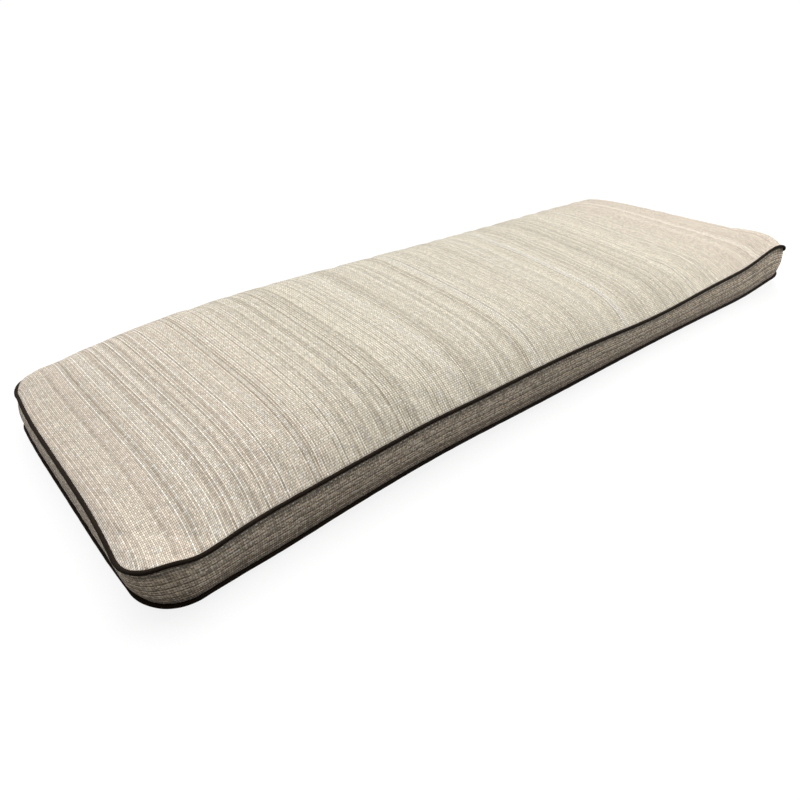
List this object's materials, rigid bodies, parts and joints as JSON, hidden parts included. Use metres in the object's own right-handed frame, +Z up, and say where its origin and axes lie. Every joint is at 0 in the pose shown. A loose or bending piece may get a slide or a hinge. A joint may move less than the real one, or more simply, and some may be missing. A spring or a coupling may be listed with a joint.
{
  "type": "patio chair cushion",
  "caption": "Long boxed outdoor seat cushion in striped woven cloth, crowned by its filling, with a dark piping sewn into each edge seam.",
  "frame": {"origin": "centre of the plan, on the flat face that the cushion lies on", "axes": "+X along the cushion, +Y across it from front to back, +Z up out of the crowned face"},
  "size_m": [1.7007, 0.628, 0.1724],
  "materials": {
    "cover_cloth": "matt woven cloth with irregular cream, sand and taupe stripes",
    "piping_cloth": "matt dark brown woven cloth over a cord"
  },
  "bodies": {
    "root": {"cushion_body": "cover_cloth", "top_piping": "piping_cloth", "bottom_piping": "piping_cloth"}
  },
  "joints": []
}
